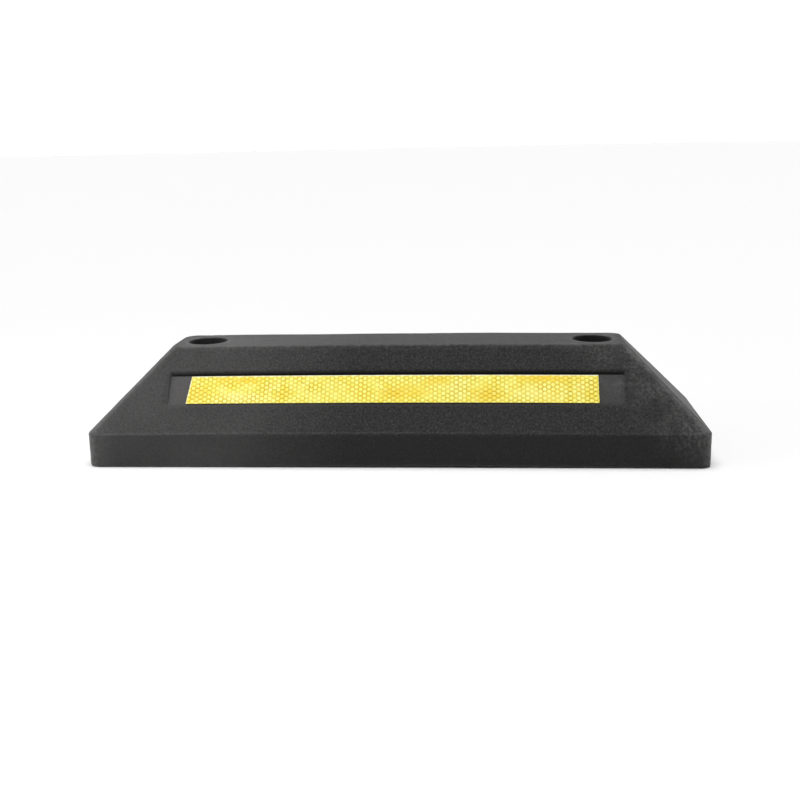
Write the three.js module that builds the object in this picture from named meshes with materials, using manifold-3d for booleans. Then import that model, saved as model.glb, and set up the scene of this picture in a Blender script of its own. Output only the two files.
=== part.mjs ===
// Rubber wheel stop: a moulded rubber block that stops a parked car's tyre. Each long slope has a
// shallow recess that holds a honeycomb reflective strip, the underside is hollowed between ribs, and
// two counterbored holes hold the sleeve anchors that fix the block to the ground.
// Millimetres. X runs along the block, Y across it towards the rear, Z up from the ground.
import * as THREE from "three";
import { mergeVertices } from "three/addons/utils/BufferGeometryUtils.js";
import Module from "manifold-3d";

// Block
const LENGTH = 550;
const WIDTH = 150;
const HEIGHT = 100;
const BAND_HEIGHT = 30; // the upright band round the foot
const TOP_LENGTH = 410;
const TOP_WIDTH = 60;
const CORNER_RADIUS = 7; // upright and hip edges, in plan
const FOOT_EDGE = 2;
const BAND_EDGE = 3;
const TOP_EDGE = 3;

// Recess in each long slope: its floor starts flush with the slope and ends under an upright step
const RECESS_HALF_LENGTH = 203;
const RECESS_FOOT = 24.5; // distances up the slope from the top of the band
const RECESS_HEAD = 59.2;
const RECESS_STEP = 3.7; // height of the upright step

// Reflective strip, lying on the recess floor
const STRIP_LENGTH = 365;
const STRIP_WIDTH = 26.5;
const STRIP_THICKNESS = 0.5;
const STRIP_FOOT = 3.5; // distance up the recess floor
const STRIP_OFFSET = -3.1; // the front strip sits a little off centre
const STRIP_SKEW = 1.3; // its one end is cut slightly out of square
const GAP = 0.3; // between pieces that touch

// Fixing holes
const HOLE_X = 177.5;
const COUNTERBORE_RADIUS = 18;
const HOLE_RADIUS = 7.3;
const SEAT_HEIGHT = 25;
const RIM_RADIUS = 2;

// Pockets under the block
const WALL = 15;
const SPINE = 12; // rib along the middle
const RIB = 8; // ribs across
const POCKET_PITCH = 50;
const POCKETS_BETWEEN_HOLES = 6;
const POCKET_KNEE = 24; // height at which the pocket starts to lean with the slopes
const POCKET_ROOF = 74;
const END_POCKET_START = 206;
const END_POCKET_ROOF = 54;
const POCKET_CORNER = 5;
const POCKET_DRAFT = 1;

// Sleeve anchor, M10
const STUD_RADIUS = 5;
const STUD_FOOT = 2; // height of its tip above the ground while it is parked in the block
const STUD_LENGTH = 88;
const CONE_RADIUS = 6.7;
const CONE_LAND = 2;
const CONE_LENGTH = 10;
const THREAD_CLEARANCE = 0.3;
const SLEEVE_RADIUS = 7;
const SLEEVE_LENGTH = 50;
const SLEEVE_ABOVE_CONE = 2.5;
const SLEEVE_SLOT = 1.6;
const SLEEVE_SLOT_LENGTH = 26;
const FLAT_WASHER_RADIUS = 14;
const FLAT_WASHER_THICKNESS = 2;
const SPRING_WASHER_RADIUS = 8.4;
const SPRING_WASHER_THICKNESS = 2.5;
const SPRING_WASHER_SPLIT = 2;
const NUT_ACROSS_FLATS = 17;
const NUT_HEIGHT = 8;

const OVERSHOOT = 1; // how far a cutter runs past the face it opens
const CORNER_STEPS = 6;
const EDGE_STEPS = 3;
const ROUND_STEPS = 48;

const SIDE_RUN = (WIDTH - TOP_WIDTH) / 2;
const RISE = HEIGHT - BAND_HEIGHT;
const SIDE_ANGLE = Math.atan2(RISE, SIDE_RUN);

const wasm = await Module();
wasm.setup();

function toSolid(geometry) {
  const bare = geometry.clone();
  bare.deleteAttribute("normal");
  bare.deleteAttribute("uv");
  const merged = mergeVertices(bare, 1e-3);
  return new wasm.Manifold(
    new wasm.Mesh({
      numProp: 3,
      vertProperties: merged.attributes.position.array,
      triVerts: new Uint32Array(merged.index.array),
    }),
  );
}

function toGeometry(solid) {
  const { numProp, vertProperties, triVerts } = solid.getMesh();
  const positions = [];
  for (let i = 0; i < vertProperties.length; i += numProp) {
    positions.push(vertProperties[i], vertProperties[i + 1], vertProperties[i + 2]);
  }
  const geometry = new THREE.BufferGeometry();
  geometry.setAttribute("position", new THREE.Float32BufferAttribute(positions, 3));
  geometry.setIndex(Array.from(triVerts));
  geometry.computeVertexNormals();
  return geometry;
}

function subtractAll(base, cutters) {
  let solid = toSolid(base);
  for (const cutter of cutters) solid = solid.subtract(toSolid(cutter));
  return toGeometry(solid);
}

// A closed solid through loops of equal length that run anticlockwise seen from above, lowest first.
function loft(loops) {
  const n = loops[0].length;
  const points = loops.flat();
  const faces = [];
  for (let i = 0; i + 1 < loops.length; i++) {
    for (let j = 0; j < n; j++) {
      const a = i * n + j;
      const b = i * n + ((j + 1) % n);
      faces.push(a, b, b + n, a, b + n, a + n);
    }
  }
  const centre = (loop) =>
    loop.reduce((sum, p) => sum.add(p), new THREE.Vector3()).divideScalar(n);
  const foot = points.push(centre(loops[0])) - 1;
  const head = points.push(centre(loops.at(-1))) - 1;
  const last = (loops.length - 1) * n;
  for (let j = 0; j < n; j++) {
    const next = (j + 1) % n;
    faces.push(foot, next, j, head, last + j, last + next);
  }
  return new THREE.BufferGeometry().setFromPoints(points).setIndex(faces);
}

// A rectangle with round corners. Its ends can lie at another height than its long sides.
function roundedLoop(x0, x1, y0, y1, radius, endZ, sideZ = endZ) {
  const loop = [];
  for (let quarter = 0; quarter < 4; quarter++) {
    const cx = quarter === 0 || quarter === 3 ? x1 - radius : x0 + radius;
    const cy = quarter < 2 ? y1 - radius : y0 + radius;
    for (let step = 0; step <= CORNER_STEPS; step++) {
      const angle = ((quarter + step / CORNER_STEPS) * Math.PI) / 2;
      const z = endZ + (sideZ - endZ) * Math.sin(angle) ** 2;
      loop.push(
        new THREE.Vector3(cx + radius * Math.cos(angle), cy + radius * Math.sin(angle), z),
      );
    }
  }
  return loop;
}

// The arc that rounds the corner between two straight lines in a plane.
function fillet(before, corner, after, radius) {
  const back = before.clone().sub(corner).normalize();
  const on = after.clone().sub(corner).normalize();
  const half = Math.acos(back.dot(on)) / 2;
  const bisector = back.clone().add(on).normalize();
  const centre = corner.clone().addScaledVector(bisector, radius / Math.sin(half));
  const from = corner.clone().addScaledVector(back, radius / Math.tan(half)).sub(centre);
  const turn = Math.PI - 2 * half;
  const points = [];
  for (let step = 0; step <= EDGE_STEPS; step++) {
    points.push(
      from.clone().rotateAround(new THREE.Vector2(), (turn * step) / EDGE_STEPS).add(centre),
    );
  }
  return points;
}

// The block's outline from foot to top, seen along X (half = its half width) or along Y.
function outline(half, topHalf) {
  const corners = [
    new THREE.Vector2(0, 0),
    new THREE.Vector2(half, 0),
    new THREE.Vector2(half, BAND_HEIGHT),
    new THREE.Vector2(topHalf, HEIGHT),
    new THREE.Vector2(0, HEIGHT),
  ];
  return [FOOT_EDGE, BAND_EDGE, TOP_EDGE].flatMap((radius, i) =>
    fillet(corners[i], corners[i + 1], corners[i + 2], radius),
  );
}

function blockSolid() {
  const ends = outline(LENGTH / 2, TOP_LENGTH / 2);
  const sides = outline(WIDTH / 2, TOP_WIDTH / 2);
  return loft(
    ends.map((end, i) =>
      roundedLoop(-end.x, end.x, -sides[i].x, sides[i].x, CORNER_RADIUS, end.y, sides[i].y),
    ),
  );
}

// A profile of [radius, height] pairs turned about Z.
function turned(profile, steps = ROUND_STEPS) {
  const points = profile.map(([r, z]) => new THREE.Vector2(r, z));
  return new THREE.LatheGeometry(points, steps).rotateX(Math.PI / 2);
}

function holeCutter() {
  const rim = [];
  for (let step = 0; step <= EDGE_STEPS; step++) {
    const angle = (step / EDGE_STEPS) * (Math.PI / 2);
    rim.push([
      COUNTERBORE_RADIUS + RIM_RADIUS * (1 - Math.cos(angle)),
      HEIGHT - RIM_RADIUS * (1 - Math.sin(angle)),
    ]);
  }
  return turned([
    [0, -OVERSHOOT],
    [HOLE_RADIUS, -OVERSHOOT],
    [HOLE_RADIUS, SEAT_HEIGHT],
    [COUNTERBORE_RADIUS, SEAT_HEIGHT],
    ...rim,
    [COUNTERBORE_RADIUS + RIM_RADIUS, HEIGHT + OVERSHOOT],
    [0, HEIGHT + OVERSHOOT],
  ]);
}

// Places something drawn on a long slope: X stays, Y is the distance up the slope from the band, and
// Z stands out of it. The front slope faces -Y. The rear one is the front one turned about Z.
function ontoSlope(geometry, rear) {
  const placed = geometry
    .clone()
    .rotateX(SIDE_ANGLE)
    .translate(0, -WIDTH / 2, BAND_HEIGHT);
  return rear ? placed.rotateZ(Math.PI) : placed;
}

// On the slope's own axes: the recess's foot, its head, and the foot of the upright step below it.
const recessFoot = new THREE.Vector2(RECESS_FOOT, 0);
const recessHead = new THREE.Vector2(RECESS_HEAD, 0);
const upright = new THREE.Vector2(Math.sin(SIDE_ANGLE), Math.cos(SIDE_ANGLE));
const stepFoot = recessHead.clone().addScaledVector(upright, -RECESS_STEP);
const floorAngle = stepFoot.clone().sub(recessFoot).angle();

function recessCutter() {
  const wedge = new THREE.Shape([
    recessFoot,
    stepFoot,
    recessHead.clone().addScaledVector(upright, RECESS_STEP),
    recessFoot.clone().addScaledVector(upright, RECESS_STEP),
  ]);
  const length = 2 * RECESS_HALF_LENGTH;
  const alongX = new THREE.Matrix4().makeBasis(
    new THREE.Vector3(0, 1, 0),
    new THREE.Vector3(0, 0, 1),
    new THREE.Vector3(1, 0, 0),
  );
  return new THREE.ExtrudeGeometry(wedge, { depth: length, bevelEnabled: false })
    .translate(0, 0, -length / 2)
    .applyMatrix4(alongX);
}

function pocketCutter(x0, x1, side, roof) {
  const roofRise = roof - POCKET_KNEE;
  const lean = roofRise / Math.tan(SIDE_ANGLE);
  const isEnd = Math.abs(x0 + x1) / 2 > HOLE_X;
  const endLean = isEnd ? roofRise : POCKET_DRAFT;
  const loop = (z, inner, outer, low, high) => {
    const ys = [side * inner, side * outer].sort((a, b) => a - b);
    return roundedLoop(low, high, ys[0], ys[1], POCKET_CORNER, z);
  };
  const inner = SPINE / 2;
  const outer = WIDTH / 2 - WALL;
  const low = x0 < 0 && isEnd ? x0 + endLean : x0 + POCKET_DRAFT;
  const high = x0 > 0 && isEnd ? x1 - endLean : x1 - POCKET_DRAFT;
  return loft([
    loop(-OVERSHOOT, inner, outer, x0, x1),
    loop(POCKET_KNEE, inner, outer, x0, x1),
    loop(roof, inner + POCKET_DRAFT, outer - lean, low, high),
  ]);
}

function pocketCutters() {
  const cutters = [];
  const width = POCKET_PITCH - RIB;
  for (const side of [-1, 1]) {
    for (let i = 0; i < POCKETS_BETWEEN_HOLES; i++) {
      const middle = (i - (POCKETS_BETWEEN_HOLES - 1) / 2) * POCKET_PITCH;
      cutters.push(pocketCutter(middle - width / 2, middle + width / 2, side, POCKET_ROOF));
    }
    const start = END_POCKET_START;
    cutters.push(pocketCutter(start, start + POCKET_PITCH, side, END_POCKET_ROOF));
    cutters.push(pocketCutter(-start - POCKET_PITCH, -start, side, END_POCKET_ROOF));
  }
  return cutters;
}

function rubberBody() {
  const holes = [-HOLE_X, HOLE_X].map((x) => holeCutter().translate(x, 0, 0));
  const recesses = [false, true].map((rear) => ontoSlope(recessCutter(), rear));
  return subtractAll(blockSolid(), [...holes, ...recesses, ...pocketCutters()]);
}

// The strip is drawn flat, then laid on the tilted recess floor.
function reflectiveStrip(rear) {
  const half = STRIP_LENGTH / 2;
  const shift = rear ? 0 : STRIP_OFFSET;
  const skew = rear ? 0 : STRIP_SKEW;
  const sheet = new THREE.Shape([
    new THREE.Vector2(shift - half - skew, 0),
    new THREE.Vector2(shift + half, 0),
    new THREE.Vector2(shift + half, STRIP_WIDTH),
    new THREE.Vector2(shift - half + skew, STRIP_WIDTH),
  ]);
  const flat = new THREE.ExtrudeGeometry(sheet, { depth: STRIP_THICKNESS, bevelEnabled: false })
    .translate(0, STRIP_FOOT, GAP)
    .rotateX(floorAngle)
    .translate(0, RECESS_FOOT, 0);
  return ontoSlope(flat, rear);
}

// Heights of the anchor's pieces, from the ground up, while it is parked in the block.
const CONE_TOP = STUD_FOOT + CONE_LAND + CONE_LENGTH;
const SLEEVE_FOOT = CONE_TOP + SLEEVE_ABOVE_CONE;
const FLAT_WASHER_FOOT = SLEEVE_FOOT + SLEEVE_LENGTH + GAP;
const SPRING_WASHER_FOOT = FLAT_WASHER_FOOT + FLAT_WASHER_THICKNESS + GAP;
const NUT_FOOT = SPRING_WASHER_FOOT + SPRING_WASHER_THICKNESS + GAP;
const BORE = STUD_RADIUS + THREAD_CLEARANCE;

function anchorStud() {
  const top = STUD_FOOT + STUD_LENGTH;
  const chamfer = 1;
  return turned([
    [0, STUD_FOOT],
    [CONE_RADIUS, STUD_FOOT],
    [CONE_RADIUS, STUD_FOOT + CONE_LAND],
    [STUD_RADIUS, CONE_TOP],
    [STUD_RADIUS, top - chamfer],
    [STUD_RADIUS - chamfer, top],
    [0, top],
  ]);
}

function ring(inner, outer, foot, height) {
  return turned([
    [inner, foot],
    [outer, foot],
    [outer, foot + height],
    [inner, foot + height],
    [inner, foot],
  ]);
}

function expansionSleeve() {
  const slots = [0, 1].map((i) =>
    new THREE.BoxGeometry(4 * SLEEVE_RADIUS, SLEEVE_SLOT, 2 * SLEEVE_SLOT_LENGTH)
      .rotateZ((i * Math.PI) / 2)
      .translate(0, 0, SLEEVE_FOOT),
  );
  return subtractAll(ring(BORE, SLEEVE_RADIUS, SLEEVE_FOOT, SLEEVE_LENGTH), slots);
}

function flatWasher() {
  return ring(BORE, FLAT_WASHER_RADIUS, FLAT_WASHER_FOOT, FLAT_WASHER_THICKNESS);
}

function springWasher() {
  const height = 4 * SPRING_WASHER_THICKNESS;
  const split = new THREE.BoxGeometry(SPRING_WASHER_RADIUS, SPRING_WASHER_SPLIT, height)
    .translate((SPRING_WASHER_RADIUS + STUD_RADIUS) / 2, 0, SPRING_WASHER_FOOT);
  const whole = ring(BORE, SPRING_WASHER_RADIUS, SPRING_WASHER_FOOT, SPRING_WASHER_THICKNESS);
  return subtractAll(whole, [split]);
}

function hexNut() {
  const corner = NUT_ACROSS_FLATS / Math.sqrt(3);
  const chamfer = corner - NUT_ACROSS_FLATS / 2;
  const hexagon = new THREE.CylinderGeometry(corner, corner, NUT_HEIGHT, 6)
    .rotateX(Math.PI / 2)
    .translate(0, 0, NUT_FOOT + NUT_HEIGHT / 2);
  const rounding = turned([
    [0, NUT_FOOT],
    [corner - chamfer, NUT_FOOT],
    [corner, NUT_FOOT + chamfer / 2],
    [corner, NUT_FOOT + NUT_HEIGHT - chamfer / 2],
    [corner - chamfer, NUT_FOOT + NUT_HEIGHT],
    [0, NUT_FOOT + NUT_HEIGHT],
  ]);
  const bore = turned([
    [0, NUT_FOOT - OVERSHOOT],
    [BORE, NUT_FOOT - OVERSHOOT],
    [BORE, NUT_FOOT + NUT_HEIGHT + OVERSHOOT],
    [0, NUT_FOOT + NUT_HEIGHT + OVERSHOOT],
  ]);
  return toGeometry(toSolid(hexagon).intersect(toSolid(rounding)).subtract(toSolid(bore)));
}

const rubber = new THREE.MeshStandardMaterial({ color: 0x3b3b3c, roughness: 0.85, metalness: 0 });
const sheeting = new THREE.MeshStandardMaterial({ color: 0xf7d53c, roughness: 0.35, metalness: 0 });
const zinc = new THREE.MeshStandardMaterial({ color: 0xb9babb, roughness: 0.4, metalness: 1 });

const wheelStop = new THREE.Group();

function add(parent, name, geometry, material) {
  const mesh = new THREE.Mesh(geometry, material);
  mesh.name = name;
  parent.add(mesh);
}

add(wheelStop, "rubber_body", rubberBody(), rubber);
add(wheelStop, "front_reflective_strip", reflectiveStrip(false), sheeting);
add(wheelStop, "rear_reflective_strip", reflectiveStrip(true), sheeting);

for (const [side, x] of [["left", -HOLE_X], ["right", HOLE_X]]) {
  const anchor = new THREE.Group();
  anchor.position.x = x;
  add(anchor, `${side}_anchor_stud`, anchorStud(), zinc);
  add(anchor, `${side}_expansion_sleeve`, expansionSleeve(), zinc);
  add(anchor, `${side}_flat_washer`, flatWasher(), zinc);
  add(anchor, `${side}_spring_washer`, springWasher(), zinc);
  add(anchor, `${side}_hex_nut`, hexNut(), zinc);
  wheelStop.add(anchor);
}

export default wheelStop;
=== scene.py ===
"""A rubber wheel stop with reflective strips, in metres: X along it, Y towards its rear, Z up."""

import math

import bmesh
import bpy
from mathutils import Matrix, Vector, noise


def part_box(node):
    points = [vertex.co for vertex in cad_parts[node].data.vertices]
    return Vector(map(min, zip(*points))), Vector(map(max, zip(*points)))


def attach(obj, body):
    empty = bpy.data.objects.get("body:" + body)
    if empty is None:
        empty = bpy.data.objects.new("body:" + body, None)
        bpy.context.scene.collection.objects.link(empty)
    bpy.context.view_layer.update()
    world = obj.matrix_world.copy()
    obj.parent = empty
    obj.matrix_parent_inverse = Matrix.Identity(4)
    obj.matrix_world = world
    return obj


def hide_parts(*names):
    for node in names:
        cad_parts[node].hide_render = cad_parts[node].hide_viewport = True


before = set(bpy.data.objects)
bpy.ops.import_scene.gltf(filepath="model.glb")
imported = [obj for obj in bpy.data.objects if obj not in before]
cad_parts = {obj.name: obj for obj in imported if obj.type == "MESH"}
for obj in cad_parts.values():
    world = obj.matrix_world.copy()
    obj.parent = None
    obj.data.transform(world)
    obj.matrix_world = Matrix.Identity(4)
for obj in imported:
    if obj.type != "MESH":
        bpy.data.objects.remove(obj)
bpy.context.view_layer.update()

MM = 0.001

# The block, as in the CAD model
BODY_LOW, BODY_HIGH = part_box("rubber_body")
HALF_LENGTH = BODY_HIGH.x
HALF_WIDTH = BODY_HIGH.y
HEIGHT = BODY_HIGH.z
BAND_HEIGHT = 30 * MM
TOP_HALF_LENGTH = 205 * MM
TOP_HALF_WIDTH = 30 * MM
CORNER_RADIUS = 10 * MM
FOOT_EDGE = 1.5 * MM
BAND_EDGE = 2 * MM
TOP_EDGE = 2 * MM
BOW = 1.7 * MM  # the moulding has bowed: its middle stands this much higher than its ends
SLOPE_ANGLE = math.atan2(HEIGHT - BAND_HEIGHT, HALF_WIDTH - TOP_HALF_WIDTH)
SLOPE_LENGTH = math.hypot(HEIGHT - BAND_HEIGHT, HALF_WIDTH - TOP_HALF_WIDTH)

# The recess in each long slope: distances up the slope from the top of the band
RECESS_HALF_LENGTH = 203 * MM
RECESS_FOOT = 24.5 * MM
RECESS_HEAD = 59.2 * MM
RECESS_STEP = 3.7 * MM
RECESS_SIDE_RISE = 1.6
RECESS_BLEND = 0.35 * MM
CHANNEL_DEPTH = 1.2 * MM  # it undercuts the step, above the strip
CHANNEL_WIDTH = 1.4 * MM
STEP_FOOT = RECESS_HEAD - RECESS_STEP * math.sin(SLOPE_ANGLE)
RECESS_DEEPEST = RECESS_STEP * math.cos(SLOPE_ANGLE)

# The fixing holes
HOLE_X = 177.5 * MM
COUNTERBORE_RADIUS = 18 * MM
BOLT_HOLE_RADIUS = 7.3 * MM
SEAT_HEIGHT = 25 * MM
SEAT_FILLET = 1.5 * MM
RIM_RADIUS = 1.3 * MM
RIM_SWEEP = math.radians(68)

# The pockets under the block
POCKET_WALL = 15 * MM
SPINE = 12 * MM
RIB = 8 * MM
POCKET_PITCH = 50 * MM
POCKETS_BETWEEN_HOLES = 6
POCKET_KNEE = 24 * MM
POCKET_ROOF = 74 * MM
END_POCKET_START = 206 * MM
END_POCKET_ROOF = 54 * MM
POCKET_CORNER = 5 * MM
POCKET_DRAFT = 1 * MM
POCKET_LIP = 1 * MM
POCKET_ROOF_EDGE = 2 * MM

# The camera, fitted to the photograph
CAMERA_PLACE = Vector((85.3, -1004.6, 282.2)) * MM
CAMERA_YAW = math.radians(4.795)
CAMERA_PITCH = math.radians(-13.317)
CAMERA_ROLL = math.radians(-1.234)
CAMERA_LENS = 49.9
SENSOR_WIDTH = 36


def make_camera():
    data = bpy.data.cameras.new("camera")
    data.lens = CAMERA_LENS
    data.sensor_width = SENSOR_WIDTH
    camera = bpy.data.objects.new("camera", data)
    turn = (
        Matrix.Rotation(CAMERA_YAW, 4, "Z")
        @ Matrix.Rotation(math.pi / 2 + CAMERA_PITCH, 4, "X")
        @ Matrix.Rotation(CAMERA_ROLL, 4, "Z")
    )
    camera.matrix_world = Matrix.Translation(CAMERA_PLACE) @ turn
    bpy.context.collection.objects.link(camera)
    bpy.context.scene.camera = camera


make_camera()


# Mesh helpers

SMOOTH_BELOW = math.radians(35)


def new_object(name, bm, smooth_below=SMOOTH_BELOW):
    """Turns a mesh under construction into an object, smooth except across its sharp edges."""
    bmesh.ops.recalc_face_normals(bm, faces=bm.faces)
    for face in bm.faces:
        face.smooth = True
    for edge in bm.edges:
        if len(edge.link_faces) == 2:
            edge.smooth = edge.calc_face_angle(0) < smooth_below
    mesh = bpy.data.meshes.new(name)
    bm.to_mesh(mesh)
    bm.free()
    piece = bpy.data.objects.new(name, mesh)
    bpy.context.collection.objects.link(piece)
    return piece


def add_rings(bm, rings, close=False):
    """Skins rings of equal length with quads. With close, the last ring joins the first."""
    rows = [[bm.verts.new(point) for point in ring] for ring in rings]
    pairs = list(zip(rows, rows[1:]))
    if close:
        pairs.append((rows[-1], rows[0]))
    for low, high in pairs:
        for i in range(len(low)):
            j = (i + 1) % len(low)
            bm.faces.new((low[i], low[j], high[j], high[i]))
    return rows


def add_loft(bm, rings):
    """A closed solid through rings, capped at both ends."""
    rows = add_rings(bm, rings)
    bm.faces.new(reversed(rows[0]))
    bm.faces.new(rows[-1])


def circle(radius, z, steps, centre=(0, 0)):
    ring = []
    for i in range(steps):
        angle = 2 * math.pi * i / steps
        x = centre[0] + radius * math.cos(angle)
        y = centre[1] + radius * math.sin(angle)
        ring.append(Vector((x, y, z)))
    return ring


def rounded_rectangle(x0, x1, y0, y1, radius, z, corner_steps=6):
    ring = []
    for quarter in range(4):
        cx = x1 - radius if quarter in (0, 3) else x0 + radius
        cy = y1 - radius if quarter < 2 else y0 + radius
        for step in range(corner_steps + 1):
            angle = (quarter + step / corner_steps) * math.pi / 2
            x = cx + radius * math.cos(angle)
            y = cy + radius * math.sin(angle)
            ring.append(Vector((x, y, z)))
    return ring


def apply_modifiers(piece):
    graph = bpy.context.evaluated_depsgraph_get()
    mesh = bpy.data.meshes.new_from_object(piece.evaluated_get(graph))
    piece.modifiers.clear()
    piece.data = mesh


def cut(piece, cutter):
    boolean = piece.modifiers.new("cut", "BOOLEAN")
    boolean.operation = "DIFFERENCE"
    boolean.solver = "EXACT"
    boolean.object = cutter
    apply_modifiers(piece)
    bpy.data.objects.remove(cutter)


# The rubber block

ARC_STEPS = 5
CORNER_STEPS = 8
COLUMN_PITCH = 4 * MM
END_COLUMNS = 4
ACROSS_STEPS = 20
HOLE_STEPS = 96

# Rows of vertices up a slope: its foot and head, then even rows clear of those that mark a bend
FIRST_ROWS = (1.3 * MM, 2.2 * MM)
LAST_ROWS = (2.8 * MM, 1.9 * MM)  # down from its head
BEND_ROWS = (-1, -0.33, 0.33, 1)
ROW_START = 4.5 * MM
ROW_END = 4 * MM  # down from its head
ROW_PITCH = 3.2 * MM
ROW_CLEARANCE = 1.6 * MM

# Columns of vertices along a side: even ones to just short of the recess's end, then these in mm
# from that end
PLAIN_END = 2 * MM
END_OFFSETS = (-1, -0.6, -0.25, 0.1, 0.6)

# Rings of vertices: under the block and on its top in mm from the edge, and up the band as shares
UNDER_INSETS = (14, 10, 6, 3)
BAND_SHARES = (0.1, 0.16, 0.28, 0.44, 0.6, 0.76, 0.88, 0.93, 0.96)
TOP_INSETS = (2, 2.8, 4, 7, 10, 14, 18, 22, 26)


def fillet(before, corner, after, radius):
    """The arc that rounds a corner between two straight lines in a plane."""
    back = (before - corner).normalized()
    on = (after - corner).normalized()
    half = back.angle(on) / 2
    centre = corner + (back + on).normalized() * radius / math.sin(half)
    start = corner + back * radius / math.tan(half) - centre
    turn = math.pi - 2 * half
    arc = []
    for step in range(ARC_STEPS + 1):
        angle = turn * step / ARC_STEPS
        arc.append(centre + Matrix.Rotation(angle, 2) @ start)
    return arc


def outline(half, top_half):
    """The block's outline from its foot to its top, as rows of fillets with straights between."""
    corners = [
        Vector((0, 0)),
        Vector((half, 0)),
        Vector((half, BAND_HEIGHT)),
        Vector((top_half, HEIGHT)),
        Vector((0, HEIGHT)),
    ]
    radii = (FOOT_EDGE, BAND_EDGE, TOP_EDGE)
    return [fillet(*corners[i : i + 3], radius) for i, radius in enumerate(radii)]


def slope_rows():
    """Where the rows of vertices lie up the slope, closest together where the recess bends."""
    rows = []
    for edge, reach in ((RECESS_FOOT, 1), (STEP_FOOT, 0.6), (RECESS_HEAD, 0.6)):
        rows += [edge + offset * reach * MM for offset in BEND_ROWS]
    rows.append(STEP_FOOT - CHANNEL_WIDTH)
    rows.append((STEP_FOOT + RECESS_HEAD) / 2)
    rows += FIRST_ROWS
    rows += [SLOPE_LENGTH - row for row in LAST_ROWS]
    even = ROW_START
    while even < SLOPE_LENGTH - ROW_END:
        if all(abs(even - row) > ROW_CLEARANCE for row in rows):
            rows.append(even)
        even += ROW_PITCH
    return sorted(rows)


def columns():
    """Where the columns of vertices lie along the front and rear, closest at the recess's ends."""
    plain = RECESS_HALF_LENGTH - PLAIN_END
    count = round(plain / COLUMN_PITCH)
    inner = [plain * i / count for i in range(count + 1)]
    return inner + [RECESS_HALF_LENGTH + offset * MM for offset in END_OFFSETS]


def spread(half):
    """Column positions on a side whose straight part runs from -half to half."""
    inner = columns()
    squeeze = min(1, (half - 1 * MM) / inner[-1])
    right = [x * squeeze for x in inner]
    rest = half - right[-1]
    right += [right[-1] + rest * (i + 1) / END_COLUMNS for i in range(END_COLUMNS)]
    return [-x for x in reversed(right[1:])] + right


def ring(half_x, half_y, end_z, side_z, radius):
    """One ring round the block. Its ends can lie at another height than its sides."""
    straight_x = half_x - radius
    straight_y = half_y - radius
    along = spread(straight_x)
    across = [straight_y * (2 * i / ACROSS_STEPS - 1) for i in range(ACROSS_STEPS + 1)]

    def corner(quarter):
        points = []
        for step in range(1, CORNER_STEPS):
            angle = (quarter + step / CORNER_STEPS) * math.pi / 2
            x = math.copysign(straight_x, math.cos((quarter + 0.5) * math.pi / 2))
            y = math.copysign(straight_y, math.sin((quarter + 0.5) * math.pi / 2))
            z = end_z + (side_z - end_z) * math.sin(angle) ** 2
            x += radius * math.cos(angle)
            y += radius * math.sin(angle)
            points.append(Vector((x, y, z)))
        return points

    points = [Vector((half_x, y, end_z)) for y in across] + corner(0)
    points += [Vector((x, half_y, side_z)) for x in reversed(along)] + corner(1)
    points += [Vector((-half_x, y, end_z)) for y in reversed(across)] + corner(2)
    points += [Vector((x, -half_y, side_z)) for x in along] + corner(3)
    return points


def block_rings():
    """The block's skin as rings of vertices, from its underside out, up its faces and in on top."""
    ends = outline(HALF_LENGTH, TOP_HALF_LENGTH)
    sides = outline(HALF_WIDTH, TOP_HALF_WIDTH)
    rings = []

    def add_arc(index):
        for end, side in zip(ends[index], sides[index]):
            rings.append(ring(end.x, side.x, end.y, side.y, CORNER_RADIUS))

    for inset in UNDER_INSETS:
        width = HALF_WIDTH - inset * MM
        rings.append(ring(HALF_LENGTH - inset * MM, width, 0, 0, CORNER_RADIUS))
    add_arc(0)
    for share in BAND_SHARES:
        z = BAND_HEIGHT * share
        rings.append(ring(HALF_LENGTH, HALF_WIDTH, z, z, CORNER_RADIUS))
    add_arc(1)
    for row in slope_rows():
        share = row / SLOPE_LENGTH
        half_x = HALF_LENGTH + (TOP_HALF_LENGTH - HALF_LENGTH) * share
        half_y = HALF_WIDTH + (TOP_HALF_WIDTH - HALF_WIDTH) * share
        z = BAND_HEIGHT + (HEIGHT - BAND_HEIGHT) * share
        rings.append(ring(half_x, half_y, z, z, CORNER_RADIUS))
    add_arc(2)
    for inset in TOP_INSETS:
        radius = max(CORNER_RADIUS - inset * MM, 1 * MM)
        half_y = TOP_HALF_WIDTH - inset * MM
        rings.append(ring(TOP_HALF_LENGTH - inset * MM, half_y, HEIGHT, HEIGHT, radius))
    return rings


def smooth_min(a, b, reach):
    """The smaller of two values, rounded off where they come within reach of each other."""
    blend = max(reach - abs(a - b), 0) / reach
    return min(a, b) - blend * blend * reach / 4


def recess_depth(point):
    """How far the recess lies below the slope at a point on the slope."""
    s = (point.z - BAND_HEIGHT) / math.sin(SLOPE_ANGLE)
    step_lean = 1 / math.tan(SLOPE_ANGLE)
    floor = (s - RECESS_FOOT) * RECESS_DEEPEST / (STEP_FOOT - RECESS_FOOT)
    step = (RECESS_HEAD - s) * step_lean
    side = (RECESS_HALF_LENGTH - abs(point.x)) * RECESS_SIDE_RISE
    channel = CHANNEL_DEPTH * min(max((s - STEP_FOOT) / CHANNEL_WIDTH + 1, 0), 1)
    undercut = step * (1 + CHANNEL_DEPTH / RECESS_DEEPEST)
    depth = smooth_min(floor + channel, undercut, RECESS_BLEND)
    return max(smooth_min(depth, side, RECESS_BLEND), 0)


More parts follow.
